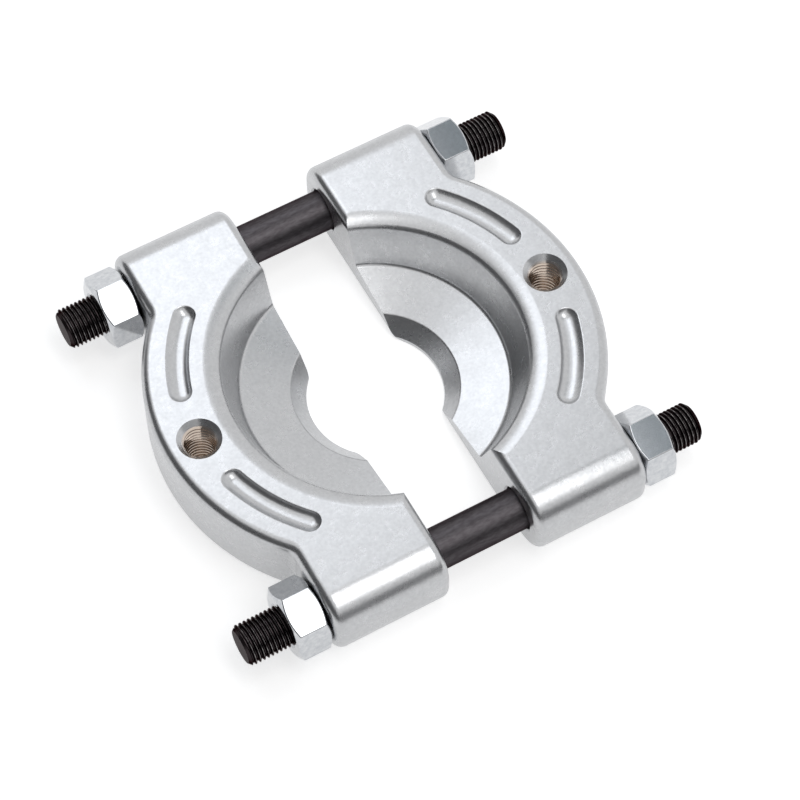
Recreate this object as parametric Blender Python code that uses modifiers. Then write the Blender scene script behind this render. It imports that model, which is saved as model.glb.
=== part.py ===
"""Bearing separator: two half-ring jaws on two studs, drawn together by four hex nuts.

Metres, Z up. X runs along the studs and Y towards the back. The origin is the middle of the
assembly, on the plane of the jaws' flat undersides.
"""

import math

import bmesh
import bpy
from mathutils import Matrix

# Jaws
JAW_HEIGHT = 0.0230
JAW_GAP = 0.0266
PARTING_OFFSET = 0.0133
RING_RADIUS = 0.0616
RING_SHIFT = 0.0027
EDGE_RADIUS = 0.0028
CORNER_RADIUS = 0.0045

# Bosses that carry the studs
BOSS_LENGTH = 0.0347
BOSS_OVERHANG = 0.01165
BOSS_RADIUS = 0.0095

# Bore, ledge and recess, as radii about the bore's centre and heights above the underside
LIP_RADIUS = 0.0193
LIP_HEIGHT = 0.0011
LEDGE_INNER_RADIUS = 0.0237
LEDGE_INNER_HEIGHT = 0.0057
LEDGE_OUTER_RADIUS = 0.0378
LEDGE_OUTER_HEIGHT = 0.0089
RECESS_RADIUS = 0.0420
RIM_DEPTH = 0.0013
RIM_ROUND = 0.0008
RIM_BEVEL_WIDTH = 0.0028
RIM_BEVEL_DEPTH = 0.0004

# Grooves in the top face
GROOVE_RADIUS = 0.0540
GROOVE_WIDTH = 0.0067
GROOVE_DEPTH = 0.0016
GROOVE_START = math.radians(13.0)
GROOVE_END = math.radians(46.0)

# Tapped holes for the puller's legs
HOLE_OFFSET = 0.0540
HOLE_RADIUS = 0.0043
COUNTERSINK_RADIUS = 0.00625

# Studs
STUD_SPACING = 0.1100
STUD_LENGTH = 0.1400
STUD_RADIUS = 0.0060
STUD_SHIFT = 0.0010
STUD_CHAMFER = 0.0012
THREAD_LENGTH = 0.0400
THREAD_MEAN_RADIUS = 0.00560
THREAD_RUNOUT = 0.0006
STUD_CLEARANCE = 0.0004

# Nuts
NUT_WIDTH = 0.0190
NUT_HEIGHT = 0.0100
NUT_FACE_SHARE = 0.95
NUT_CHAMFER_ANGLE = math.radians(30.0)
NUT_BORE_CHAMFER = 0.0007
THREAD_CLEARANCE = 0.0003
NUT_GAP = 0.0003
NUT_ROOM = 0.0005
NUT_TURNS = {
    "nut_left_front": math.radians(20.3),
    "nut_left_back": math.radians(26.7),
    "nut_right_front": math.radians(16.8),
    "nut_right_back": math.radians(10.5),
}

# Modelling values: how far a cutter runs past a face, and how finely round shapes are divided
OVERSHOOT = 0.0050
TURN_STEPS = 96
HOLE_STEPS = 32
ARC_STEP = math.radians(2.5)
FILLET_STEPS = 6
SMOOTH_ANGLE = math.radians(30.0)

# Places that follow from the sizes above
STUD_Y = STUD_SPACING / 2
STUD_Z = JAW_HEIGHT / 2
NUT_FACE_X = PARTING_OFFSET + BOSS_LENGTH
BOSS_SIDE_Y = STUD_Y + BOSS_OVERHANG
NUT_CORNER_RADIUS = NUT_WIDTH / 2 / math.cos(math.pi / 6)
JAW_SHIFT = JAW_GAP / 2 - PARTING_OFFSET

# Centre of the round corner between ring wall and nut face, which stays clear of the nut
CORNER_X = NUT_FACE_X + CORNER_RADIUS
RING_CORNER_Y = math.sqrt((RING_RADIUS + CORNER_RADIUS) ** 2 - (CORNER_X - RING_SHIFT) ** 2)
CORNER_Y = min(RING_CORNER_Y, STUD_Y - NUT_CORNER_RADIUS - NUT_ROOM)


def clear_scene():
    for item in list(bpy.data.objects):
        bpy.data.objects.remove(item, do_unlink=True)


def new_collection(name):
    collection = bpy.data.collections.new(name)
    bpy.context.scene.collection.children.link(collection)
    return collection


def metal(name, colour, roughness):
    material = bpy.data.materials.new(name)
    material.use_nodes = True
    shader = material.node_tree.nodes["Principled BSDF"]
    shader.inputs["Base Color"].default_value = (*colour, 1.0)
    shader.inputs["Roughness"].default_value = roughness
    shader.inputs["Metallic"].default_value = 1.0
    material.diffuse_color = (*colour, 1.0)
    return material


def arc(centre_x, centre_y, radius, start, end, steps):
    """Points along an arc, both ends included."""
    angles = [start + (end - start) * i / steps for i in range(steps + 1)]
    return [(centre_x + radius * math.cos(a), centre_y + radius * math.sin(a)) for a in angles]


def guide(item):
    """Keep a construction shape out of the render and show it as wire."""
    item.hide_render = True
    item.display_type = "WIRE"
    return item


def adopt(item, name, collection):
    """Name a shape that was just added and move it to its collection."""
    for holder in list(item.users_collection):
        holder.objects.unlink(item)
    collection.objects.link(item)
    item.name = name
    return guide(item)


def turned(name, profile, steps, collection):
    """A profile of (radius, height) points, top to bottom, turned about Z."""
    mesh = bpy.data.meshes.new(name)
    points = [(radius, 0.0, height) for radius, height in profile]
    mesh.from_pydata(points, [(i, i + 1) for i in range(len(points) - 1)], [])
    item = bpy.data.objects.new(name, mesh)
    collection.objects.link(item)
    screw = item.modifiers.new("turn", "SCREW")
    screw.axis = "Z"
    screw.steps = steps
    screw.render_steps = steps
    screw.use_merge_vertices = True
    screw.merge_threshold = 0.00001
    return guide(item)


def frozen(item, name):
    """The evaluated mesh of an object, in world space, with the object removed."""
    bpy.context.view_layer.update()
    depsgraph = bpy.context.evaluated_depsgraph_get()
    mesh = bpy.data.meshes.new_from_object(item.evaluated_get(depsgraph))
    mesh.name = name
    mesh.transform(item.matrix_world)
    bpy.data.objects.remove(item, do_unlink=True)
    return mesh


def plate(name, outline, low, high, collection):
    """A flat outline in plan, made solid from height low to height high."""
    curve = bpy.data.curves.new(name, "CURVE")
    curve.dimensions = "2D"
    curve.fill_mode = "BOTH"
    curve.extrude = (high - low) / 2
    spline = curve.splines.new("POLY")
    spline.points.add(len(outline) - 1)
    for point, (x, y) in zip(spline.points, outline):
        point.co = (x, y, 0.0, 1.0)
    spline.use_cyclic_u = True
    flat = bpy.data.objects.new(name, curve)
    flat.location.z = (low + high) / 2
    collection.objects.link(flat)

    # the curve's loose caps are welded on and each becomes one flat face
    mesh = frozen(flat, name)
    bm = bmesh.new()
    bm.from_mesh(mesh)
    bmesh.ops.remove_doubles(bm, verts=bm.verts, dist=0.000001)
    bmesh.ops.dissolve_limit(bm, angle_limit=0.001, verts=bm.verts, edges=bm.edges)
    bmesh.ops.recalc_face_normals(bm, faces=bm.faces)
    bm.to_mesh(mesh)
    bm.free()
    item = bpy.data.objects.new(name, mesh)
    collection.objects.link(item)
    return guide(item)


def boolean(item, operation, cutter):
    modifier = item.modifiers.new(cutter.name, "BOOLEAN")
    modifier.operation = operation
    modifier.solver = "EXACT"
    modifier.object = cutter


def bevel(item, name, limit, width, segments):
    modifier = item.modifiers.new(name, "BEVEL")
    modifier.limit_method = limit
    modifier.angle_limit = math.radians(40.0)
    modifier.width = width
    modifier.segments = segments


def jaw_outline():
    """Right jaw in plan: ring wall, concave corners, nut faces and boss sides."""
    # the corner runs into the ring wall, or into a flat beside the nut if the ring is larger
    corner_turn = math.atan2(CORNER_Y, CORNER_X - RING_SHIFT)
    if CORNER_Y < RING_CORNER_Y:
        corner_turn = math.pi / 2
    wall_end = math.asin((CORNER_Y - CORNER_RADIUS * math.sin(corner_turn)) / RING_RADIUS)
    wall_steps = max(2, round(2 * wall_end / ARC_STEP))
    wall = arc(RING_SHIFT, 0.0, RING_RADIUS, -wall_end, wall_end, wall_steps)
    corner_back = arc(CORNER_X, CORNER_Y, CORNER_RADIUS, math.pi + corner_turn, math.pi, FILLET_STEPS)
    corner_front = [(x, -y) for x, y in reversed(corner_back)]
    back_x = PARTING_OFFSET - OVERSHOOT
    boss_back = [(NUT_FACE_X, BOSS_SIDE_Y), (back_x, BOSS_SIDE_Y)]
    boss_front = [(back_x, -BOSS_SIDE_Y), (NUT_FACE_X, -BOSS_SIDE_Y)]
    return wall + corner_back[1:] + boss_back + boss_front + corner_front[:-1]


def mark_boss_edges(mesh):
    """Weight the four long outer edges of the bosses, which get the large radius."""
    weights = mesh.attributes.new("bevel_weight_edge", "FLOAT", "EDGE")
    near = 0.0001
    for edge in mesh.edges:
        ends = [mesh.vertices[i].co for i in edge.vertices]
        on_side = all(abs(end.y) > BOSS_SIDE_Y - near for end in ends)
        level = abs(ends[0].z - ends[1].z) < near
        weights.data[edge.index].value = 1.0 if on_side and level else 0.0


def recess_profile():
    """Bore, ledge and recess from the top down, as a solid to take away."""
    wall_foot = (LEDGE_OUTER_RADIUS, LEDGE_OUTER_HEIGHT)
    wall_top = (RECESS_RADIUS, JAW_HEIGHT - RIM_DEPTH)
    rim_radius = RECESS_RADIUS + RIM_ROUND
    rim_height = JAW_HEIGHT - RIM_BEVEL_DEPTH
    rim = []
    for i in range(1, FILLET_STEPS):
        turn = math.pi / 2 * i / FILLET_STEPS
        radius = rim_radius - RIM_ROUND * math.sin(turn)
        height = rim_height - (RIM_DEPTH - RIM_BEVEL_DEPTH) * (1 - math.cos(turn))
        rim.append((radius, height))
    outer = rim_radius + RIM_BEVEL_WIDTH
    return [
        (0.0, JAW_HEIGHT + OVERSHOOT),
        (outer, JAW_HEIGHT + OVERSHOOT),
        (outer, JAW_HEIGHT),
        (rim_radius, rim_height),
        *rim,
        wall_top,
        wall_foot,
        (LEDGE_INNER_RADIUS, LEDGE_INNER_HEIGHT),
        (LIP_RADIUS, LIP_HEIGHT),
        (LIP_RADIUS, -OVERSHOOT),
        (0.0, -OVERSHOOT),
    ]


def recess_cutter(collection):
    return turned("recess_cutter", recess_profile(), TURN_STEPS, collection)


def parting_cutter(collection):
    """A block that takes away everything short of the parting face."""
    size = 2 * (BOSS_SIDE_Y + OVERSHOOT)
    bpy.ops.mesh.primitive_cube_add(size=size, location=(PARTING_OFFSET - size / 2, 0.0, STUD_Z))
    return adopt(bpy.context.object, "parting_cutter", collection)


def groove_cutter(name, side, collection):
    """A curved slot with round ends, its lower edges rounded to a half-round section."""
    half = GROOVE_WIDTH / 2
    cap_turn = half / GROOVE_RADIUS
    start = GROOVE_START + cap_turn
    end = GROOVE_END - cap_turn
    steps = max(2, round((end - start) / ARC_STEP))
    start_x = GROOVE_RADIUS * math.cos(start)
    start_y = GROOVE_RADIUS * math.sin(start)
    end_x = GROOVE_RADIUS * math.cos(end)
    end_y = GROOVE_RADIUS * math.sin(end)
    outer = arc(0.0, 0.0, GROOVE_RADIUS + half, start, end, steps)
    far_cap = arc(end_x, end_y, half, end, end + math.pi, 2 * FILLET_STEPS)
    inner = arc(0.0, 0.0, GROOVE_RADIUS - half, end, start, steps)
    near_cap = arc(start_x, start_y, half, start + math.pi, start + 2 * math.pi, 2 * FILLET_STEPS)
    outline = outer + far_cap[1:] + inner[1:] + near_cap[1:-1]
    outline = [(x, side * y) for x, y in outline]
    low = JAW_HEIGHT - GROOVE_DEPTH
    high = JAW_HEIGHT + GROOVE_DEPTH + OVERSHOOT
    cutter = plate(name, outline, low, high, collection)
    bevel(cutter, "half_round", "ANGLE", min(GROOVE_DEPTH, half * 0.9), FILLET_STEPS)
    return cutter


def hole_cutter(collection):
    """The tapped hole at its inner diameter, countersunk at both faces."""
    sink = COUNTERSINK_RADIUS - HOLE_RADIUS
    wide = COUNTERSINK_RADIUS + OVERSHOOT
    profile = [
        (0.0, JAW_HEIGHT + OVERSHOOT),
        (wide, JAW_HEIGHT + OVERSHOOT),
        (HOLE_RADIUS, JAW_HEIGHT - sink),
        (HOLE_RADIUS, sink),
        (wide, -OVERSHOOT),
        (0.0, -OVERSHOOT),
    ]
    cutter = turned("hole_cutter", profile, HOLE_STEPS, collection)
    cutter.location.x = HOLE_OFFSET
    return cutter


def stud_bore_cutter(name, side, collection):
    length = BOSS_LENGTH + 2 * OVERSHOOT
    bpy.ops.mesh.primitive_cylinder_add(
        vertices=HOLE_STEPS,
        radius=STUD_RADIUS + STUD_CLEARANCE,
        depth=length,
        location=(PARTING_OFFSET + BOSS_LENGTH / 2, side * STUD_Y, STUD_Z),
        rotation=(0.0, math.pi / 2, 0.0),
    )
    return adopt(bpy.context.object, name, collection)


def jaw_mesh(collection):
    """One jaw, modelled as the right one, with the bore's centre at its origin."""
    blank = plate("jaw_blank", jaw_outline(), 0.0, JAW_HEIGHT, collection)
    mark_boss_edges(blank.data)

    # the rounding leaves a flat strip on the boss's side and on its nut face
    boss_radius = min(BOSS_RADIUS, STUD_Z * 0.98, (BOSS_SIDE_Y - CORNER_Y) * 0.9)
    bevel(blank, "boss_rounding", "WEIGHT", boss_radius, 2 * FILLET_STEPS)
    bevel(blank, "edge_rounding", "ANGLE", EDGE_RADIUS, FILLET_STEPS // 2)
    boolean(blank, "DIFFERENCE", recess_cutter(collection))
    boolean(blank, "DIFFERENCE", groove_cutter("groove_cutter_back", 1, collection))
    boolean(blank, "DIFFERENCE", groove_cutter("groove_cutter_front", -1, collection))
    boolean(blank, "DIFFERENCE", hole_cutter(collection))
    boolean(blank, "DIFFERENCE", stud_bore_cutter("stud_bore_back", 1, collection))
    boolean(blank, "DIFFERENCE", stud_bore_cutter("stud_bore_front", -1, collection))
    boolean(blank, "DIFFERENCE", parting_cutter(collection))
    return frozen(blank, "jaw")


def along_x(mesh):
    """Lay a shape that was turned about Z along X."""
    mesh.transform(Matrix.Rotation(math.pi / 2, 4, "Y"))
    return mesh


def stud_mesh(collection):
    """A round bar, threaded at both ends, where it keeps the thread's mean diameter."""
    half = STUD_LENGTH / 2
    thread_end = half - THREAD_LENGTH
    tip = THREAD_MEAN_RADIUS - STUD_CHAMFER
    upper = [
        (0.0, half),
        (tip, half),
        (THREAD_MEAN_RADIUS, half - STUD_CHAMFER),
        (THREAD_MEAN_RADIUS, thread_end),
        (STUD_RADIUS, thread_end - THREAD_RUNOUT),
    ]
    lower = [(radius, -height) for radius, height in reversed(upper)]
    return along_x(frozen(turned("stud", upper + lower, HOLE_STEPS, collection), "stud"))


def nut_mesh(collection):
    """A hex bar trimmed by the cones that chamfer its corners, then bored."""
    bpy.ops.mesh.primitive_cylinder_add(vertices=6, radius=NUT_CORNER_RADIUS, depth=NUT_HEIGHT)
    hexagon = adopt(bpy.context.object, "hexagon", collection)
    half = NUT_HEIGHT / 2
    face = NUT_WIDTH / 2 * NUT_FACE_SHARE
    wide = NUT_CORNER_RADIUS + OVERSHOOT
    drop = (wide - face) * math.tan(NUT_CHAMFER_ANGLE)
    envelope = [(0.0, half), (face, half), (wide, half - drop)]
    envelope += [(radius, -height) for radius, height in reversed(envelope)]
    boolean(hexagon, "INTERSECT", turned("nut_envelope", envelope, TURN_STEPS, collection))
    bore = THREAD_MEAN_RADIUS + THREAD_CLEARANCE
    mouth = bore + NUT_BORE_CHAMFER
    bore_profile = [(0.0, half + OVERSHOOT), (mouth + OVERSHOOT, half + OVERSHOOT)]
    bore_profile += [(bore, half - NUT_BORE_CHAMFER)]
    bore_profile += [(radius, -height) for radius, height in reversed(bore_profile)]
    boolean(hexagon, "DIFFERENCE", turned("nut_bore", bore_profile, HOLE_STEPS, collection))
    return along_x(frozen(hexagon, "nut"))


def place(name, mesh, material, location, rotation, collection):
    """Put a finished piece in the assembly, shaded smooth with its real edges sharp."""
    mesh.materials.clear()
    mesh.materials.append(material)
    mesh.shade_smooth()
    mesh.set_sharp_from_angle(angle=SMOOTH_ANGLE)
    item = bpy.data.objects.new(name, mesh)
    item.location = location
    item.rotation_euler = rotation
    collection.objects.link(item)
    return item


def add_jaws(separator, cutters):
    plating = metal("satin_plating", (0.78, 0.79, 0.80), 0.38)
    mesh = jaw_mesh(cutters)
    place("jaw_right", mesh, plating, (JAW_SHIFT, 0.0, 0.0), (0.0, 0.0, 0.0), separator)
    place("jaw_left", mesh, plating, (-JAW_SHIFT, 0.0, 0.0), (0.0, 0.0, math.pi), separator)


def add_studs(separator, cutters):
    oxide = metal("black_oxide", (0.07, 0.07, 0.075), 0.42)
    mesh = stud_mesh(cutters)
    upright = (0.0, 0.0, 0.0)
    place("stud_front", mesh, oxide, (-STUD_SHIFT, -STUD_Y, STUD_Z), upright, separator)
    place("stud_back", mesh, oxide, (STUD_SHIFT, STUD_Y, STUD_Z), upright, separator)


def add_nuts(separator, cutters):
    zinc = metal("zinc_plating", (0.55, 0.57, 0.60), 0.30)
    mesh = nut_mesh(cutters)
    centre_x = JAW_SHIFT + NUT_FACE_X + NUT_GAP + NUT_HEIGHT / 2
    for name, turn in NUT_TURNS.items():
        x = centre_x if "right" in name else -centre_x
        y = STUD_Y if "back" in name else -STUD_Y
        place(name, mesh, zinc, (x, y, STUD_Z), (turn, 0.0, 0.0), separator)


clear_scene()
separator_parts = new_collection("bearing_separator")
cutter_shapes = new_collection("cutters")
add_jaws(separator_parts, cutter_shapes)
add_studs(separator_parts, cutter_shapes)
add_nuts(separator_parts, cutter_shapes)
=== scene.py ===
import math

import bmesh
import bpy
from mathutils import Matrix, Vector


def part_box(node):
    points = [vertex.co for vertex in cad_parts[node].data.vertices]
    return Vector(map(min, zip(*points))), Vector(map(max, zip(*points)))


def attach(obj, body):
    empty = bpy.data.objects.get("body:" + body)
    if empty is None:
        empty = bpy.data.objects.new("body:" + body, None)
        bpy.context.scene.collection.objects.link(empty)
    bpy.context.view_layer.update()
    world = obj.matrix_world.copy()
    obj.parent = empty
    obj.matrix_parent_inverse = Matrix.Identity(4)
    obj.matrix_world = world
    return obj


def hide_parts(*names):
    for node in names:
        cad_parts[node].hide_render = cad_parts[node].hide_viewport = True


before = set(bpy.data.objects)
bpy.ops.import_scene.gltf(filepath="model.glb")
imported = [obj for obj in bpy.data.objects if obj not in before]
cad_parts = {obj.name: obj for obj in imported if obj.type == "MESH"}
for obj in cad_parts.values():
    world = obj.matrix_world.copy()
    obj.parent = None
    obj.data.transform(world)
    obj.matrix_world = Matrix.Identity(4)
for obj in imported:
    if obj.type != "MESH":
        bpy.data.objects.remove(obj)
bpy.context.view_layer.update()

# Studs
# Two 12 mm round steel bars carry the jaws. Each has an M12 x 1.25 thread rolled on both ends and a
# plain middle, its tips are chamfered, and it is blackened all over.
STUD_RADIUS = 0.0060
STUD_CHAMFER = 0.0015
STUD_SIDES = 100
STUD_CREASE = math.radians(35.0)
PLAIN_HALF = 0.0300
PITCH = 0.00125
CREST_RADIUS = 0.00594
ROOT_RADIUS = 0.00523
RUN_OUT = 0.0003
TIP_ROOM = 0.0003
THREAD_STEPS = 48
SPARE_TURNS = 2
# one tooth from crest to crest: how far along in pitches, how high in shares of its depth
TOOTH = (
    (0.065, 0.95),
    (0.345, 0.10),
    (0.42, 0.0),
    (0.58, 0.0),
    (0.655, 0.10),
    (0.935, 0.95),
    (1.0, 1.0),
)
# blanks and cutters reach this far past the piece, and points this near are in one place
PAST = 0.0030
NEAR = 0.00005
# how near points are welded along a seam and after a cut, and how near a plane snaps to a point
SEAM_WELD = 0.000005
CUT_WELD = 0.0000005
PLANE_SNAP = 0.0000001

front_low, front_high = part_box("stud_front")
back_low, back_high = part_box("stud_back")
front_x = (front_low.x + front_high.x) / 2
back_x = (back_low.x + back_high.x) / 2
stud_half = (front_high.x - front_low.x) / 2
stud_y = (back_low.y + back_high.y) / 2
stud_z = (front_low.z + front_high.z) / 2


def select_only(item):
    bpy.ops.object.select_all(action="DESELECT")
    item.select_set(True)
    bpy.context.view_layer.objects.active = item


def edit(item):
    select_only(item)
    bpy.ops.object.mode_set(mode="EDIT")


def leave_edit():
    bpy.ops.object.mode_set(mode="OBJECT")


def weld(distance):
    """Merge the open piece's points that lie nearer than a distance."""
    bpy.ops.mesh.select_all(action="SELECT")
    bpy.ops.mesh.remove_doubles(threshold=distance)


def apply_all(item):
    select_only(item)
    for modifier in list(item.modifiers):
        bpy.ops.object.modifier_apply(modifier=modifier.name)


def settle(item):
    """Put an object's place, turn and size into its mesh."""
    select_only(item)
    bpy.ops.object.transform_apply(location=True, rotation=True, scale=True)


def combine(item, operation, other):
    """Join to, cut from or keep what is shared with another solid, which is used up."""
    modifier = item.modifiers.new(other.name, "BOOLEAN")
    modifier.operation = operation
    modifier.solver = "EXACT"
    modifier.object = other
    apply_all(item)
    bpy.data.objects.remove(other, do_unlink=True)
    edit(item)
    weld(CUT_WELD)
    leave_edit()


def start_point(name, x, y, z):
    """A piece that is one vertex, open in edit mode."""
    bpy.ops.object.select_all(action="DESELECT")
    bpy.ops.mesh.primitive_plane_add()
    item = bpy.context.object
    item.name = name
    edit(item)
    bpy.ops.mesh.select_mode(type="VERT")
    bpy.ops.mesh.select_all(action="SELECT")
    bpy.ops.mesh.merge(type="CENTER")
    bpy.ops.transform.translate(value=(x, y, z))
    return item


def draw_on(dx, dy, dz):
    """Extrude the selected point by a step."""
    bpy.ops.mesh.extrude_vertices_move(TRANSFORM_OT_translate={"value": (dx, dy, dz)})


def pick_edges(item, wanted, sharper_than=0.0):
    """Select the edges whose two ends pass a test, and which are sharp enough."""
    bpy.ops.mesh.select_mode(type="EDGE")
    bpy.ops.mesh.select_all(action="DESELECT")
    bm = bmesh.from_edit_mesh(item.data)
    for edge in bm.edges:
        sharp = edge.calc_face_angle(0.0) >= sharper_than
        edge.select_set(sharp and wanted(edge.verts[0].co, edge.verts[1].co))
    bmesh.update_edit_mesh(item.data)


def close_up():
    """Weld the open piece's seams and point its faces outwards."""
    weld(SEAM_WELD)
    bpy.ops.mesh.normals_make_consistent(inside=False)
    leave_edit()


def cut_square(place, normal):
    """Cut the open piece with a plane, close it and drop what lies along the normal."""
    bpy.ops.mesh.select_all(action="SELECT")
    bpy.ops.mesh.bisect(
        plane_co=place, plane_no=normal, use_fill=True, clear_outer=True, threshold=PLANE_SNAP
    )


def threaded_rod(name, pitch, crest, root, low, high):
    """A rod along X with a right-hand thread, whose crest passes +Y where x is 0, cut square."""
    first = math.floor(low / pitch) - SPARE_TURNS
    turns = math.ceil(high / pitch) + SPARE_TURNS - first
    rod = start_point(name, first * pitch, crest, 0.0)
    along, height = 0.0, 1.0
    for next_along, next_height in TOOTH:
        draw_on((next_along - along) * pitch, (next_height - height) * (crest - root), 0.0)
        along, height = next_along, next_height
    leave_edit()
    screw = rod.modifiers.new("helix", "SCREW")
    screw.axis = "X"
    screw.screw_offset = pitch
    screw.iterations = turns
    screw.steps = THREAD_STEPS
    screw.render_steps = THREAD_STEPS
    screw.use_merge_vertices = False
    apply_all(rod)
    edit(rod)
    weld(SEAM_WELD)
    cut_square((low, 0.0, 0.0), (-1.0, 0.0, 0.0))
    cut_square((high, 0.0, 0.0), (1.0, 0.0, 0.0))
    close_up()
    return rod


def round_bar(name, radius, half, chamfer):
    """A plain bar along X with chamfered ends."""
    bpy.ops.object.select_all(action="DESELECT")
    bpy.ops.mesh.primitive_cylinder_add(
        vertices=STUD_SIDES, radius=radius, depth=2 * half, rotation=(0.0, math.pi / 2, 0.0)
    )
    bar = bpy.context.object
    bar.name = name
    settle(bar)
    edit(bar)
    pick_edges(bar, lambda a, b: abs(a.x - b.x) < NEAR)
    bpy.ops.mesh.bevel(offset=chamfer, segments=1, affect="EDGES")
    leave_edit()
    return bar


thread_half = stud_half + PAST
stud = threaded_rod("stud_front_bar", PITCH, CREST_RADIUS, ROOT_RADIUS, -thread_half, thread_half)
shank_chamfer = STUD_RADIUS - ROOT_RADIUS + RUN_OUT
combine(stud, "UNION", round_bar("shank", STUD_RADIUS, PLAIN_HALF, shank_chamfer))
tips = round_bar("tips", STUD_RADIUS + TIP_ROOM, stud_half, STUD_CHAMFER)
combine(stud, "INTERSECT", tips)

OXIDE_DARK = (0.058, 0.052, 0.056, 1.0)
OXIDE_PALE = (0.085, 0.079, 0.084, 1.0)
OXIDE_GRAZING = (0.35, 0.33, 0.33, 1.0)
OXIDE_THREAD = (0.034, 0.028, 0.029, 1.0)
OXIDE_RUBBED = (0.340, 0.325, 0.320, 1.0)
BAR_ROUGHNESS = 0.38
THREAD_ROUGHNESS = 0.24
# streaks to the metre along and across the bar, and the part of their range that is used
STREAKS = (500.0, 1500.0, 1500.0)
STREAK_DETAIL = 4.0
STREAK_RANGE = (0.35, 0.70)
STREAK_STRENGTH = 0.3
STREAK_DEPTH = 0.00003
# the crest is rubbed from this far below its top, wholly at this far, and more in some patches
RUBBED_FROM = 0.00014
RUBBED_WHOLLY = 0.00002
RUBBED_FINENESS = 900.0
RUBBED_RANGE = (0.2, 0.8, 0.1, 1.0)
THREAD_START_BLUR = 0.0005
CLOUD_DETAIL = 4.0
CLOUD_ROUGHNESS = 0.6
CLOUD_RANGE = (0.25, 0.75)
# the mix node's colour sockets go by number, because its other kinds have the same names
MIX_SHARE, MIX_FIRST, MIX_SECOND, MIX_RESULT = 0, 6, 7, 2


def put(tree, kind, inputs=None, **settings):
    """Add a shader node with its settings, and give its sockets values or links."""
    node = tree.nodes.new(kind)
    for setting, value in settings.items():
        setattr(node, setting, value)
    for socket, value in (inputs or {}).items():
        if isinstance(value, bpy.types.NodeSocket):
            tree.links.new(value, node.inputs[socket])
        else:
            node.inputs[socket].default_value = value
    return node


def between(tree, share, first, second):
    """A colour between two, by a share from 0 to 1."""
    sockets = {MIX_SHARE: share, MIX_FIRST: first, MIX_SECOND: second}
    return put(tree, "ShaderNodeMix", sockets, data_type="RGBA").outputs[MIX_RESULT]


def rescale(tree, value, low, high, new_low=0.0, new_high=1.0):
    """Stretch low to high onto new_low to new_high, and hold it at both ends."""
    sockets = {"Value": value, "From Min": low, "From Max": high}
    sockets.update({"To Min": new_low, "To Max": new_high})
    return put(tree, "ShaderNodeMapRange", sockets, clamp=True).outputs["Result"]


def calculate(tree, operation, first, second=0.0):
    return put(tree, "ShaderNodeMath", {0: first, 1: second}, operation=operation).outputs[0]


def length(tree, x, y):
    """How long a step is that goes x one way and y the other."""
    step = put(tree, "ShaderNodeCombineXYZ", {"X": x, "Y": y}).outputs["Vector"]
    return put(tree, "ShaderNodeVectorMath", {0: step}, operation="LENGTH").outputs["Value"]


def spots(tree, place, fineness, detail, roughness=0.5):
    """Soft random spots from 0 to 1, about as many to the metre as their fineness."""
    sockets = {"Vector": place, "Scale": fineness, "Detail": detail, "Roughness": roughness}
    return put(tree, "ShaderNodeTexNoise", sockets).outputs["Fac"]


def bumps(tree, height, strength, depth, over=None):
    """The normal of a surface that rises and falls by a pattern, over coarser bumps if given."""
    sockets = {"Height": height, "Strength": strength, "Distance": depth}
    if over is not None:
        sockets["Normal"] = over
    return put(tree, "ShaderNodeBump", sockets).outputs["Normal"]


def new_effect(name, inputs, outputs):
    """An empty shader node group, with what comes into it and what goes out."""
    tree = bpy.data.node_groups.new(name, "ShaderNodeTree")
    for socket, kind in inputs:
        tree.interface.new_socket(socket, in_out="INPUT", socket_type=kind)
    for socket, kind in outputs:
        tree.interface.new_socket(socket, in_out="OUTPUT", socket_type=kind)
    return tree, put(tree, "NodeGroupInput").outputs, put(tree, "NodeGroupOutput").inputs


def apply_effect(tree, effect, inputs):
    """Place an effect in a material and give its sockets values or links."""
    return put(tree, "ShaderNodeGroup", inputs, node_tree=effect).outputs


def metal(name, roughness):
    """A bare metal material and its nodes, with the object's own coordinates."""
    material = bpy.data.materials.new(name)
    material.use_nodes = True
    tree = material.node_tree
    shader = tree.nodes["Principled BSDF"].inputs
    shader["Metallic"].default_value = 1.0
    shader["Roughness"].default_value = roughness
    place = put(tree, "ShaderNodeTexCoord").outputs["Object"]
    return material, tree, shader, place


def coat(item, material):
    """Finish the whole piece in one material."""
    item.data.materials.clear()
    item.data.materials.append(material)


def smooth(item, crease):
    """Shade round faces smooth, and keep flat faces flat and corners crisp."""
    select_only(item)
    bpy.ops.object.shade_smooth_by_angle(angle=crease)
    weighted = item.modifiers.new("flat faces stay flat", "WEIGHTED_NORMAL")
    weighted.keep_sharp = True
    apply_all(item)


def copy_of(item, name):
    select_only(item)
    bpy.ops.object.duplicate(linked=False)
    twin = bpy.context.object
    twin.name = name
    return twin


# soft clouding of a finish: a value from 0 to 1 that wanders over the surface
clouding, inlet, outlet = new_effect(
    "clouding",
    [("Place", "NodeSocketVector"), ("Fineness", "NodeSocketFloat")],
    [("Share", "NodeSocketFloat")],
)
cloud = spots(clouding, inlet["Place"], inlet["Fineness"], CLOUD_DETAIL, CLOUD_ROUGHNESS)
clouding.links.new(rescale(clouding, cloud, *CLOUD_RANGE), outlet["Share"])

# how far a place is from the nearer stud's axis, and how far along it from the middle
from_stud, inlet, outlet = new_effect(
    "from_stud",
    [("Place", "NodeSocketVector")],
    [("Distance", "NodeSocketFloat"), ("Along", "NodeSocketFloat")],
)
split = put(from_stud, "ShaderNodeSeparateXYZ", {"Vector": inlet["Place"]}).outputs
sideways = calculate(from_stud, "ABSOLUTE", split["Y"])
across = calculate(from_stud, "SUBTRACT", sideways, stud_y)
up = calculate(from_stud, "SUBTRACT", split["Z"], stud_z)
from_stud.links.new(length(from_stud, across, up), outlet["Distance"])
from_stud.links.new(calculate(from_stud, "ABSOLUTE", split["X"]), outlet["Along"])

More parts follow.
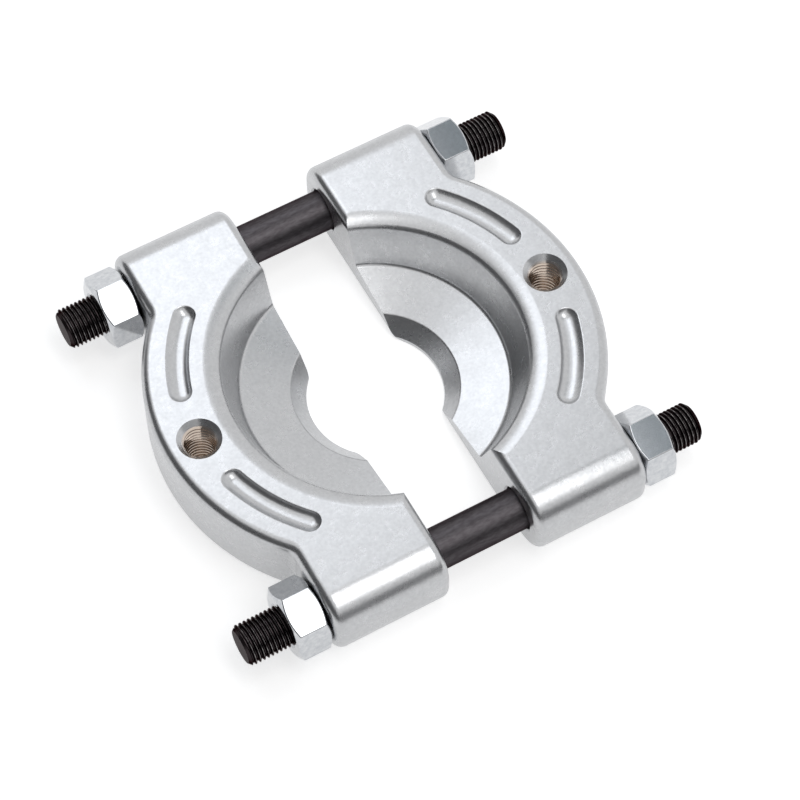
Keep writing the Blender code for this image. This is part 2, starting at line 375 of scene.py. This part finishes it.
# black oxide: faint streaks along the plain bar, near black in the threads, rubbed on their crests
oxide, tree, shader, place = metal("black_oxide", BAR_ROUGHNESS)
shader["Specular Tint"].default_value = OXIDE_GRAZING
streaked = put(tree, "ShaderNodeMapping", {"Vector": place, "Scale": STREAKS}).outputs["Vector"]
streaks = spots(tree, streaked, 1.0, STREAK_DETAIL)
plain_colour = between(tree, rescale(tree, streaks, *STREAK_RANGE), OXIDE_DARK, OXIDE_PALE)
axis = apply_effect(tree, from_stud, {"Place": place})
rubbed_low = CREST_RADIUS - RUBBED_FROM
rubbed_high = CREST_RADIUS - RUBBED_WHOLLY
crest_share = rescale(tree, axis["Distance"], rubbed_low, rubbed_high)
blotch = apply_effect(tree, clouding, {"Place": place, "Fineness": RUBBED_FINENESS})["Share"]
patches = rescale(tree, blotch, *RUBBED_RANGE)
rubbed_share = calculate(tree, "MULTIPLY", crest_share, patches)
thread_colour = between(tree, rubbed_share, OXIDE_THREAD, OXIDE_RUBBED)
thread_low = PLAIN_HALF - THREAD_START_BLUR
thread_high = PLAIN_HALF + THREAD_START_BLUR
threaded = rescale(tree, axis["Along"], thread_low, thread_high)
oxide_colour = between(tree, threaded, plain_colour, thread_colour)
oxide_roughness = rescale(tree, threaded, 0.0, 1.0, BAR_ROUGHNESS, THREAD_ROUGHNESS)
tree.links.new(oxide_colour, shader["Base Color"])
tree.links.new(oxide_roughness, shader["Roughness"])
tree.links.new(bumps(tree, streaks, STREAK_STRENGTH, STREAK_DEPTH), shader["Normal"])

coat(stud, oxide)
smooth(stud, STUD_CREASE)
stud_back = copy_of(stud, "stud_back_bar")
stud.location = (front_x, -stud_y, stud_z)
stud_back.location = (back_x, stud_y, stud_z)
for bar, node in ((stud, "stud_front"), (stud_back, "stud_back")):
    settle(bar)
    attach(bar, "studs")
    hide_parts(node)

# Nuts
# Four M12 steel hex nuts, forged, chamfered on both faces and zinc plated. Each sits against its
# jaw's boss and is screwed on until the jaws close on the work.
NUT_SIDES = 6
NUT_WIDTH = 0.0190
NUT_FACE_SHARE = 0.95
NUT_CHAMFER_SLOPE = math.tan(math.radians(30.0))
NUT_CHAMFER_STEPS = 120
NUT_SLIVER = 0.00005
NUT_SHARP = math.radians(20.0)
NUT_EDGE_ROUND = 0.00045
NUT_EDGE_STEPS = 3
NUT_CREASE = math.radians(30.0)
NUT_MAJOR_RADIUS = 0.00606
NUT_MINOR_RADIUS = 0.00532
NUT_MOUTH = 0.0066
# each nut's body, and how far its hexagon is turned, in degrees
NUT_TURNS = {
    "nut_left_front": ("left_front_nut", 20.3),
    "nut_left_back": ("left_back_nut", 26.7),
    "nut_right_front": ("right_front_nut", 16.8),
    "nut_right_back": ("right_back_nut", 10.5),
}
FULL_TURN = 2 * math.pi
MIDDLE = (0.0, 0.0, 0.0)
ALONG_X = (1.0, 0.0, 0.0)


def spin_round(centre, axis, angle, steps):
    """Spin what is selected by the right-hand rule, which the operator turns the other way."""
    bpy.ops.mesh.spin(steps=steps, angle=-angle, center=centre, axis=axis)


def turned(name, corners, centre, axis, steps):
    """A solid turned about a line along X or Z, from (radius, distance along) corners."""
    x, y, z = centre
    radius, along = corners[0]
    if axis == ALONG_X:
        item = start_point(name, x + along, y, z + radius)
    else:
        item = start_point(name, x + radius, y, z + along)
    for next_radius, next_along in corners[1:]:
        if axis == ALONG_X:
            draw_on(next_along - along, 0.0, next_radius - radius)
        else:
            draw_on(next_radius - radius, 0.0, next_along - along)
        radius, along = next_radius, next_along
    bpy.ops.mesh.select_all(action="SELECT")
    spin_round(centre, axis, FULL_TURN, steps)
    close_up()
    return item


def both_ends(corners):
    """A profile's corners at one end, and the same ones mirrored at the other."""
    return corners + [(radius, -along) for radius, along in reversed(corners)]


nut_low, nut_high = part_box("nut_left_front")
nut_half = (nut_high.x - nut_low.x) / 2
nut_corner = NUT_WIDTH / 2 / math.cos(math.pi / NUT_SIDES)
bpy.ops.object.select_all(action="DESELECT")
bpy.ops.mesh.primitive_cylinder_add(
    vertices=NUT_SIDES, radius=nut_corner, depth=2 * nut_half, rotation=(0.0, math.pi / 2, 0.0)
)
nut = bpy.context.object
nut.name = "nut"
settle(nut)

# the corners are turned off in a cone at both faces, and the edges are left a little round
nut_face = NUT_WIDTH / 2 * NUT_FACE_SHARE
rise = PAST * NUT_CHAMFER_SLOPE
drop = (nut_corner + PAST - nut_face) * NUT_CHAMFER_SLOPE
cone = both_ends([
    (0.0, nut_half + rise),
    (nut_face - PAST, nut_half + rise),
    (nut_corner + PAST, nut_half - drop),
])
combine(nut, "INTERSECT", turned("cone", cone, MIDDLE, ALONG_X, NUT_CHAMFER_STEPS))
edit(nut)
weld(NUT_SLIVER)
bpy.ops.mesh.select_mode(type="EDGE")
bpy.ops.mesh.select_all(action="DESELECT")
bpy.ops.mesh.edges_select_sharp(sharpness=NUT_SHARP)
bpy.ops.mesh.bevel(
    offset=NUT_EDGE_ROUND, segments=NUT_EDGE_STEPS, affect="EDGES", clamp_overlap=True
)
leave_edit()

# the bore is countersunk at both faces, and is threaded once each nut has its place
mouth = both_ends([
    (0.0, nut_half + PAST),
    (NUT_MOUTH + PAST, nut_half + PAST),
    (NUT_MINOR_RADIUS, nut_half - NUT_MOUTH + NUT_MINOR_RADIUS),
])
combine(nut, "DIFFERENCE", turned("mouth", mouth, MIDDLE, ALONG_X, THREAD_STEPS))

# zinc plating: small patches that are a little duller and bluer, over a very fine grain
ZINC_PALE = (0.63, 0.64, 0.65, 1.0)
ZINC_DULL = (0.46, 0.475, 0.50, 1.0)
ZINC_ROUGHNESS = 0.11
ZINC_ROUGHNESS_RANGE = (0.09, 0.13)
ZINC_PATCH_FINENESS = 700.0
ZINC_GRAIN_FINENESS = 1800.0
ZINC_GRAIN_DETAIL = 3.0
ZINC_GRAIN_STRENGTH = 0.08
ZINC_GRAIN_DEPTH = 0.00003
zinc, tree, shader, place = metal("zinc_plating", ZINC_ROUGHNESS)
blotch = apply_effect(tree, clouding, {"Place": place, "Fineness": ZINC_PATCH_FINENESS})["Share"]
zinc_grain = spots(tree, place, ZINC_GRAIN_FINENESS, ZINC_GRAIN_DETAIL)
zinc_bumps = bumps(tree, zinc_grain, ZINC_GRAIN_STRENGTH, ZINC_GRAIN_DEPTH)
tree.links.new(between(tree, blotch, ZINC_PALE, ZINC_DULL), shader["Base Color"])
tree.links.new(rescale(tree, blotch, 0.0, 1.0, *ZINC_ROUGHNESS_RANGE), shader["Roughness"])
tree.links.new(zinc_bumps, shader["Normal"])
coat(nut, zinc)

for node, (body, degrees) in NUT_TURNS.items():
    low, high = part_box(node)
    bar_x, nut_y = (back_x, stud_y) if "back" in node else (front_x, -stud_y)
    nut_x = (low.x + high.x) / 2
    this_nut = copy_of(nut, node + "_hex")
    this_nut.rotation_euler = (math.radians(degrees), 0.0, 0.0)
    settle(this_nut)

    # the cutter is turned until its thread meets the stud's
    cut_half = nut_half + PAST
    thread = threaded_rod("tap", PITCH, NUT_MAJOR_RADIUS, NUT_MINOR_RADIUS, -cut_half, cut_half)
    thread.rotation_euler = (FULL_TURN * (nut_x - bar_x) / PITCH, 0.0, 0.0)
    settle(thread)
    combine(this_nut, "DIFFERENCE", thread)
    this_nut.location = (nut_x, nut_y, stud_z)
    settle(this_nut)
    smooth(this_nut, NUT_CREASE)
    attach(this_nut, body)
    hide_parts(node)
bpy.data.objects.remove(nut, do_unlink=True)

# Jaws
# Two like half rings of cast steel, shaped by one mould and satin plated. The bosses are drilled
# for the studs, the recess and the knife-edged bore are turned, and one hole in each is tapped for
# a puller's leg.
JAW_HEIGHT = 0.0230
JAW_SHARP = math.radians(40.0)
JAW_CREASE = math.radians(30.0)
PARTING_X = 0.0133
RING_X = 0.0027
RING_RADIUS = 0.0616
RING_STEPS = 40
NUT_FACE_X = 0.0480
BOSS_SIDE_Y = 0.06665
BOSS_ROUND = 0.0095
BOSS_STEPS = 16
EDGE_ROUND = 0.0028
EDGE_STEPS = 7
CORNER_ROUND = 0.0045
CORNER_STEPS = 12
CORNER_X = NUT_FACE_X + CORNER_ROUND
CORNER_Y = math.sqrt((RING_RADIUS + CORNER_ROUND) ** 2 - (CORNER_X - RING_X) ** 2)
WALL_END = math.atan2(CORNER_Y, CORNER_X - RING_X)
MIRROR_WELD = 0.00001
ALONG_Z = (0.0, 0.0, 1.0)
# the jaws' cutters reach this far past them, and the recess's lip this far above the flat
BEYOND = 0.0050
SKIM = 0.000005
PARTING_ROUND = 0.0026
PARTING_STEPS = 6
BROKEN_EDGE = 0.0003
BROKEN_STEPS = 2
BROKEN_SHARP = math.radians(30.0)

# half the outline of the right jaw, drawn from the ring's outermost point, mirrored and raised
jaw = start_point("jaw_right_casting", RING_X + RING_RADIUS, 0.0, 0.0)
spin_round((RING_X, 0.0, 0.0), ALONG_Z, WALL_END, RING_STEPS)
spin_round((CORNER_X, CORNER_Y, 0.0), ALONG_Z, -WALL_END, CORNER_STEPS)
draw_on(0.0, BOSS_SIDE_Y - CORNER_Y, 0.0)
draw_on(PARTING_X - BEYOND - NUT_FACE_X, 0.0, 0.0)
draw_on(0.0, -BOSS_SIDE_Y, 0.0)
leave_edit()
mirror = jaw.modifiers.new("other half", "MIRROR")
mirror.use_axis = (False, True, False)
mirror.merge_threshold = MIRROR_WELD
apply_all(jaw)
edit(jaw)
bpy.ops.mesh.select_all(action="SELECT")
bpy.ops.mesh.edge_face_add()
bpy.ops.mesh.extrude_region_move(TRANSFORM_OT_translate={"value": (0.0, 0.0, JAW_HEIGHT)})
bpy.ops.mesh.select_all(action="SELECT")
bpy.ops.mesh.normals_make_consistent(inside=False)


def along_boss_side(a, b):
    return min(abs(a.y), abs(b.y)) > BOSS_SIDE_Y - NEAR and abs(a.z - b.z) < NEAR


def clear_of_parting(a, b):
    return max(a.x, b.x) > PARTING_X - BEYOND / 2


def on_parting_face(a, b):
    return max(abs(a.x - PARTING_X), abs(b.x - PARTING_X)) < NEAR


pick_edges(jaw, along_boss_side)
bpy.ops.mesh.bevel(offset=BOSS_ROUND, segments=BOSS_STEPS, affect="EDGES")
pick_edges(jaw, clear_of_parting, JAW_SHARP)
bpy.ops.mesh.bevel(offset=EDGE_ROUND, segments=EDGE_STEPS, affect="EDGES")

# the parting face is cut and its corners are rounded before the rest is turned and milled
cut_square((PARTING_X, 0.0, 0.0), (-1.0, 0.0, 0.0))
pick_edges(jaw, on_parting_face)
bpy.ops.mesh.bevel(
    offset=PARTING_ROUND, segments=PARTING_STEPS, affect="EDGES", clamp_overlap=False
)
leave_edit()

# the recess, its ledge and the knife-edged bore, turned as one solid to take away, from the
# radius, the height and the rounding of each corner
RECESS = (
    (0.0, JAW_HEIGHT + BEYOND, 0.0),
    (0.0500, JAW_HEIGHT + BEYOND, 0.0),
    (0.0500, JAW_HEIGHT + SKIM, 0.0),
    (0.0452, JAW_HEIGHT + SKIM, 0.0023),
    (0.0424, 0.02138, 0.0009),
    (0.0378, 0.0089, 0.0008),
    (0.0237, 0.0057, 0.0003),
    (0.0193, 0.0011, 0.0002),
    (0.0193, -BEYOND, 0.0),
    (0.0, -BEYOND, 0.0),
)
RECESS_STEPS = 240
RECESS_CORNER_STEPS = 8
recess = start_point("recess", RECESS[0][0], 0.0, RECESS[0][1])
for (radius, height, _), (next_radius, next_height, _) in zip(RECESS, RECESS[1:]):
    draw_on(next_radius - radius, 0.0, next_height - height)
for radius, height, rounding in RECESS:
    if rounding:
        bpy.ops.mesh.select_all(action="DESELECT")
        bm = bmesh.from_edit_mesh(recess.data)
        for vert in bm.verts:
            vert.select_set(abs(vert.co.x - radius) < NEAR and abs(vert.co.z - height) < NEAR)
        bmesh.update_edit_mesh(recess.data)
        bpy.ops.mesh.bevel(offset=rounding, segments=RECESS_CORNER_STEPS, affect="VERTICES")
bpy.ops.mesh.select_all(action="SELECT")
spin_round(MIDDLE, ALONG_Z, FULL_TURN, RECESS_STEPS)
close_up()
combine(jaw, "DIFFERENCE", recess)

# the grooves are dished: a flat floor, a round up to the wall's slope, and a rounded lip that
# stops a little short of level
GROOVE_RADIUS = 0.0540
GROOVE_DEPTH = 0.00155
GROOVE_FLOOR = 0.0003
GROOVE_ROUND = 0.0033
GROOVE_ROUND_STEPS = 10
GROOVE_WALL = math.radians(52.0)
GROOVE_LIP = 0.0005
GROOVE_LIP_STEPS = 6
GROOVE_LIP_SHORT = math.radians(2.0)
GROOVE_LEAN = 0.0004
GROOVE_START = math.radians(13.0)
GROOVE_END = math.radians(46.0)
GROOVE_SWEEP_STEPS = 30
GROOVE_END_STEPS = 20
ALONG_Y = (0.0, 1.0, 0.0)
HALF_TURN = math.pi
floor_z = JAW_HEIGHT - GROOVE_DEPTH
round_out = GROOVE_FLOOR + GROOVE_ROUND * math.sin(GROOVE_WALL)
round_up = GROOVE_ROUND * (1 - math.cos(GROOVE_WALL))
wall_up = GROOVE_DEPTH - round_up - GROOVE_LIP * (1 - math.cos(GROOVE_WALL))
wall_out = wall_up / math.tan(GROOVE_WALL)
lip_out = round_out + wall_out + GROOVE_LIP * math.sin(GROOVE_WALL)
groove_half = lip_out / GROOVE_RADIUS
sweep = GROOVE_END - GROOVE_START - 2 * groove_half

# half its section is swept along the ring, round the far end, back and round the near end
groove = start_point("groove", GROOVE_RADIUS, 0.0, floor_z)
draw_on(GROOVE_FLOOR, 0.0, 0.0)
round_centre = (GROOVE_RADIUS + GROOVE_FLOOR, 0.0, floor_z + GROOVE_ROUND)
spin_round(round_centre, ALONG_Y, -GROOVE_WALL, GROOVE_ROUND_STEPS)
draw_on(wall_out, 0.0, wall_up)
lip_centre = (GROOVE_RADIUS + lip_out, 0.0, JAW_HEIGHT - GROOVE_LIP)
spin_round(lip_centre, ALONG_Y, GROOVE_WALL - GROOVE_LIP_SHORT, GROOVE_LIP_STEPS)
draw_on(GROOVE_LIP, 0.0, GROOVE_LIP * math.tan(GROOVE_LIP_SHORT))
draw_on(0.0, 0.0, BEYOND)
draw_on(-lip_out + GROOVE_LIP * math.sin(GROOVE_LIP_SHORT) - GROOVE_LIP, 0.0, 0.0)
bpy.ops.mesh.select_all(action="SELECT")
near_end = (GROOVE_RADIUS, 0.0, 0.0)
far_end = (GROOVE_RADIUS * math.cos(sweep), GROOVE_RADIUS * math.sin(sweep), 0.0)
spin_round(MIDDLE, ALONG_Z, sweep, GROOVE_SWEEP_STEPS)
spin_round(far_end, ALONG_Z, HALF_TURN, GROOVE_END_STEPS)
spin_round(MIDDLE, ALONG_Z, -sweep, GROOVE_SWEEP_STEPS)
spin_round(near_end, ALONG_Z, HALF_TURN, GROOVE_END_STEPS)
close_up()
groove.rotation_euler.z = GROOVE_START + groove_half
settle(groove)

# its outer wall is the gentler one: each level is drawn in towards the ring's axis by its depth,
# and levels are told apart to a thousandth of a millimetre
LEVEL_DIGITS = 6
edit(groove)
bpy.ops.mesh.select_mode(type="VERT")
points = bmesh.from_edit_mesh(groove.data).verts
for level in sorted({round(point.co.z, LEVEL_DIGITS) for point in points}):
    if level < JAW_HEIGHT:
        for point in bmesh.from_edit_mesh(groove.data).verts:
            point.select_set(round(point.co.z, LEVEL_DIGITS) == level)
        bmesh.update_edit_mesh(groove.data)
        inwards = 1 - GROOVE_LEAN * (JAW_HEIGHT - level) / GROOVE_DEPTH / GROOVE_RADIUS
        bpy.ops.transform.resize(value=(inwards, inwards, 1.0), center_override=MIDDLE)
leave_edit()
groove_front = copy_of(groove, "groove_front")
groove_front.scale.y = -1.0
settle(groove_front)
edit(groove_front)
close_up()
combine(jaw, "DIFFERENCE", groove)
combine(jaw, "DIFFERENCE", groove_front)

# the tapped hole, countersunk at both faces
HOLE_X = 0.0540
HOLE_STEPS = 64
TAPPED_PITCH = 0.0015
TAPPED_MAJOR = 0.0050
TAPPED_MINOR = 0.0043
SINK_RADIUS = 0.00625
sink = SINK_RADIUS - TAPPED_MINOR
sink_corners = (
    (0.0, JAW_HEIGHT + BEYOND),
    (SINK_RADIUS + BEYOND, JAW_HEIGHT + BEYOND),
    (TAPPED_MINOR, JAW_HEIGHT - sink),
    (TAPPED_MINOR, sink),
    (SINK_RADIUS + BEYOND, -BEYOND),
    (0.0, -BEYOND),
)
combine(jaw, "DIFFERENCE", turned("sink", sink_corners, (HOLE_X, 0.0, 0.0), ALONG_Z, HOLE_STEPS))

# the stud bores, with a small chamfer at both ends
BORE_RADIUS = 0.0064
BORE_CHAMFER = 0.0005
BORE_STEPS = 96
bore_corners = (
    (0.0, PARTING_X - BEYOND),
    (BORE_RADIUS + BORE_CHAMFER + BEYOND, PARTING_X - BEYOND),
    (BORE_RADIUS, PARTING_X + BORE_CHAMFER),
    (BORE_RADIUS, NUT_FACE_X - BORE_CHAMFER),
    (BORE_RADIUS + BORE_CHAMFER + BEYOND, NUT_FACE_X + BEYOND),
    (0.0, NUT_FACE_X + BEYOND),
)
for name, y in (("bore_front", -stud_y), ("bore_back", stud_y)):
    bore = turned(name, bore_corners, (0.0, y, stud_z), ALONG_X, BORE_STEPS)
    combine(jaw, "DIFFERENCE", bore)


def clear_of_bores(a):
    return math.hypot(abs(a.y) - stud_y, a.z - stud_z) > BORE_RADIUS + 2 * BORE_CHAMFER


# the turned profile's edges on the parting face are only broken
edit(jaw)
pick_edges(jaw, lambda a, b: on_parting_face(a, b) and clear_of_bores(a), BROKEN_SHARP)
bpy.ops.mesh.bevel(offset=BROKEN_EDGE, segments=BROKEN_STEPS, affect="EDGES", clamp_overlap=True)
leave_edit()

# the hole's thread is cut last, with a root just inside the hole's wall
TAP_INSET = 0.00005
tap_root = TAPPED_MINOR - TAP_INSET
tap_reach = JAW_HEIGHT / 2 + PAST
tap = threaded_rod("leg_tap", TAPPED_PITCH, TAPPED_MAJOR, tap_root, -tap_reach, tap_reach)
tap.rotation_euler = (0.0, -math.pi / 2, 0.0)
tap.location = (HOLE_X, 0.0, JAW_HEIGHT / 2)
settle(tap)
combine(jaw, "DIFFERENCE", tap)

# satin plating over the casting's grain and its slight unevenness, bronze in the tapped hole
PLATING_PALE = (0.555, 0.56, 0.57, 1.0)
PLATING_DULL = (0.455, 0.46, 0.47, 1.0)
PLATING_ROUGHNESS = 0.28
PLATING_ROUGHNESS_RANGE = (0.26, 0.30)
PLATING_CLOUD_FINENESS = 260.0
SPECKLE_SHARE = 0.65
SPECKLE_RANGE = (0.3, 0.7)
GRAIN_FINENESS = 1100.0
GRAIN_DETAIL = 2.0
GRAIN_ROUGHNESS = 0.6
GRAIN_STRENGTH = 0.3
GRAIN_STRENGTH_IN_HOLE = 0.1
GRAIN_DEPTH = 0.00005
SWELL_FINENESS = 260.0
SWELL_DETAIL = 2.0
SWELL_STRENGTH = 0.35
SWELL_DEPTH = 0.00010
HOLE_BRONZE = (0.60, 0.51, 0.44, 1.0)
HOLE_ROUGHNESS = 0.15
HOLE_BLUR = 0.0004
SINK_BLUR = 0.0008
plating, tree, shader, place = metal("satin_plating", PLATING_ROUGHNESS)
sockets = {"Place": place, "Fineness": PLATING_CLOUD_FINENESS}
blotch = apply_effect(tree, clouding, sockets)["Share"]
grain = spots(tree, place, GRAIN_FINENESS, GRAIN_DETAIL, GRAIN_ROUGHNESS)
cloudy = between(tree, blotch, PLATING_PALE, PLATING_DULL)
speckled = between(tree, rescale(tree, grain, *SPECKLE_RANGE), PLATING_PALE, PLATING_DULL)
face_colour = between(tree, SPECKLE_SHARE, cloudy, speckled)

split = put(tree, "ShaderNodeSeparateXYZ", {"Vector": place}).outputs
outwards = calculate(tree, "ABSOLUTE", split["X"])
from_hole = length(tree, calculate(tree, "SUBTRACT", outwards, HOLE_X), split["Y"])
in_hole = rescale(tree, from_hole, TAPPED_MAJOR + HOLE_BLUR, TAPPED_MAJOR)
above_middle = calculate(tree, "SUBTRACT", split["Z"], JAW_HEIGHT / 2)
from_middle = calculate(tree, "ABSOLUTE", above_middle)
sink_floor = JAW_HEIGHT / 2 - SINK_RADIUS + TAPPED_MAJOR
below_sink = rescale(tree, from_middle, sink_floor, sink_floor - SINK_BLUR)
in_thread = calculate(tree, "MULTIPLY", in_hole, below_sink)

satin = rescale(tree, blotch, 0.0, 1.0, *PLATING_ROUGHNESS_RANGE)
swell = spots(tree, place, SWELL_FINENESS, SWELL_DETAIL)
uneven = bumps(tree, swell, SWELL_STRENGTH, SWELL_DEPTH)
strength = rescale(tree, in_hole, 0.0, 1.0, GRAIN_STRENGTH, GRAIN_STRENGTH_IN_HOLE)
tree.links.new(between(tree, in_thread, face_colour, HOLE_BRONZE), shader["Base Color"])
tree.links.new(rescale(tree, in_thread, 0.0, 1.0, satin, HOLE_ROUGHNESS), shader["Roughness"])
tree.links.new(bumps(tree, grain, strength, GRAIN_DEPTH, uneven), shader["Normal"])

coat(jaw, plating)
smooth(jaw, JAW_CREASE)
jaw_left = copy_of(jaw, "jaw_left_casting")
jaw_left.rotation_euler.z = HALF_TURN
settle(jaw_left)
for casting, body, node in ((jaw, "right_jaw", "jaw_right"), (jaw_left, "left_jaw", "jaw_left")):
    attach(casting, body)
    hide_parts(node)

# Floor, light and flags
# A plain white table under two soft boxes, with the pale studio around it. A dark grey flag on the
# left, a paler one in front and a pale blue card on the right show in the metal.
WHITE = (1.0, 1.0, 1.0, 1.0)
FLOOR_SIZE = 8.0
FLOOR_PAPER = (0.80, 0.80, 0.80, 1.0)
FLOOR_GLOW = 0.62
STUDIO_LIGHT = 0.50
# place, turn in degrees, size, watts and colour
SOFT_BOXES = {
    "soft_box_front": ((0.180, -0.345, 1.0), 4.0, (0.32, 0.81), 2.0, (1.0, 1.0, 1.0)),
    "soft_box_back": ((0.060, 0.790, 1.0), 0.0, (0.62, 0.75), 1.95, (0.88, 0.93, 1.0)),
}
# place, turn, size and colour
UPRIGHT_LEFT = (0.0, math.pi / 2, 0.0)
UPRIGHT_FRONT = (math.pi / 2, 0.0, 0.0)
LEVEL = (0.0, 0.0, 0.0)
FLAGS = {
    "flag_left": ((-0.60, 0.25, 0.55), UPRIGHT_LEFT, (1.0, 2.5), (0.20, 0.20, 0.205, 1.0)),
    "flag_front": ((0.30, -1.0, 0.36), UPRIGHT_FRONT, (1.8, 0.50), (0.45, 0.45, 0.46, 1.0)),
    "card_right": ((0.44, 0.0, 1.03), LEVEL, (0.21, 0.64), (0.72, 0.82, 0.88, 1.0)),
}


def matt(name, colour):
    """A matt material with its nodes."""
    material = bpy.data.materials.new(name)
    material.use_nodes = True
    shader = material.node_tree.nodes["Principled BSDF"].inputs
    shader["Base Color"].default_value = colour
    shader["Roughness"].default_value = 1.0
    return material, material.node_tree, shader


def looked_at(tree):
    """1 where the camera, gloss or glass looks at the studio, 0 where it only gives light."""
    rays = put(tree, "ShaderNodeLightPath").outputs
    seen = calculate(tree, "MAXIMUM", rays["Is Camera Ray"], rays["Is Glossy Ray"])
    return calculate(tree, "MAXIMUM", seen, rays["Is Transmission Ray"])


floor_paper, tree, shader = matt("floor_paper", FLOOR_PAPER)
shader["Specular IOR Level"].default_value = 0.0
shader["Emission Color"].default_value = WHITE
glow = calculate(tree, "MULTIPLY", looked_at(tree), FLOOR_GLOW)
tree.links.new(glow, shader["Emission Strength"])
bpy.ops.object.select_all(action="DESELECT")
bpy.ops.mesh.primitive_plane_add(size=FLOOR_SIZE)
floor = bpy.context.object
floor.name = "floor"
floor.data.materials.append(floor_paper)

world = bpy.data.worlds.new("studio")
bpy.context.scene.world = world
world.use_nodes = True
tree = world.node_tree
backdrop = tree.nodes["Background"].inputs
backdrop["Color"].default_value = WHITE
strength = rescale(tree, looked_at(tree), 0.0, 1.0, STUDIO_LIGHT, 1.0)
tree.links.new(strength, backdrop["Strength"])

for name, (place, turn, size, watts, colour) in SOFT_BOXES.items():
    bpy.ops.object.light_add(type="AREA", location=place, rotation=(0.0, 0.0, math.radians(turn)))
    soft_box = bpy.context.object
    soft_box.name = name
    soft_box.data.shape = "RECTANGLE"
    soft_box.data.size, soft_box.data.size_y = size
    soft_box.data.energy = watts
    soft_box.data.color = colour

for name, (place, turn, size, colour) in FLAGS.items():
    bpy.ops.mesh.primitive_plane_add(size=1.0, location=place, rotation=turn)
    flag = bpy.context.object
    flag.name = name
    flag.scale = (*size, 1.0)
    settle(flag)
    flag.data.materials.append(matt(name + "_cloth", colour)[0])
    flag.visible_camera = False

# Camera
# It looks down at the tool by 60 degrees from the front left, from 0.84 m away through a long
# lens, so that the studs run up to the right.
CAMERA_PLACE = (-0.1991, -0.3706, 0.7395)
CAMERA_TURN = (math.radians(29.555), 0.0, math.radians(-29.18))
CAMERA_LENS = 136.8
CAMERA_SENSOR = 36.0
CAMERA_NEAREST = 0.01
bpy.ops.object.camera_add(location=CAMERA_PLACE, rotation=CAMERA_TURN)
camera = bpy.context.object
camera.data.lens = CAMERA_LENS
camera.data.sensor_width = CAMERA_SENSOR
camera.data.clip_start = CAMERA_NEAREST
bpy.context.scene.camera = camera
bpy.context.scene.view_settings.view_transform = "Standard"
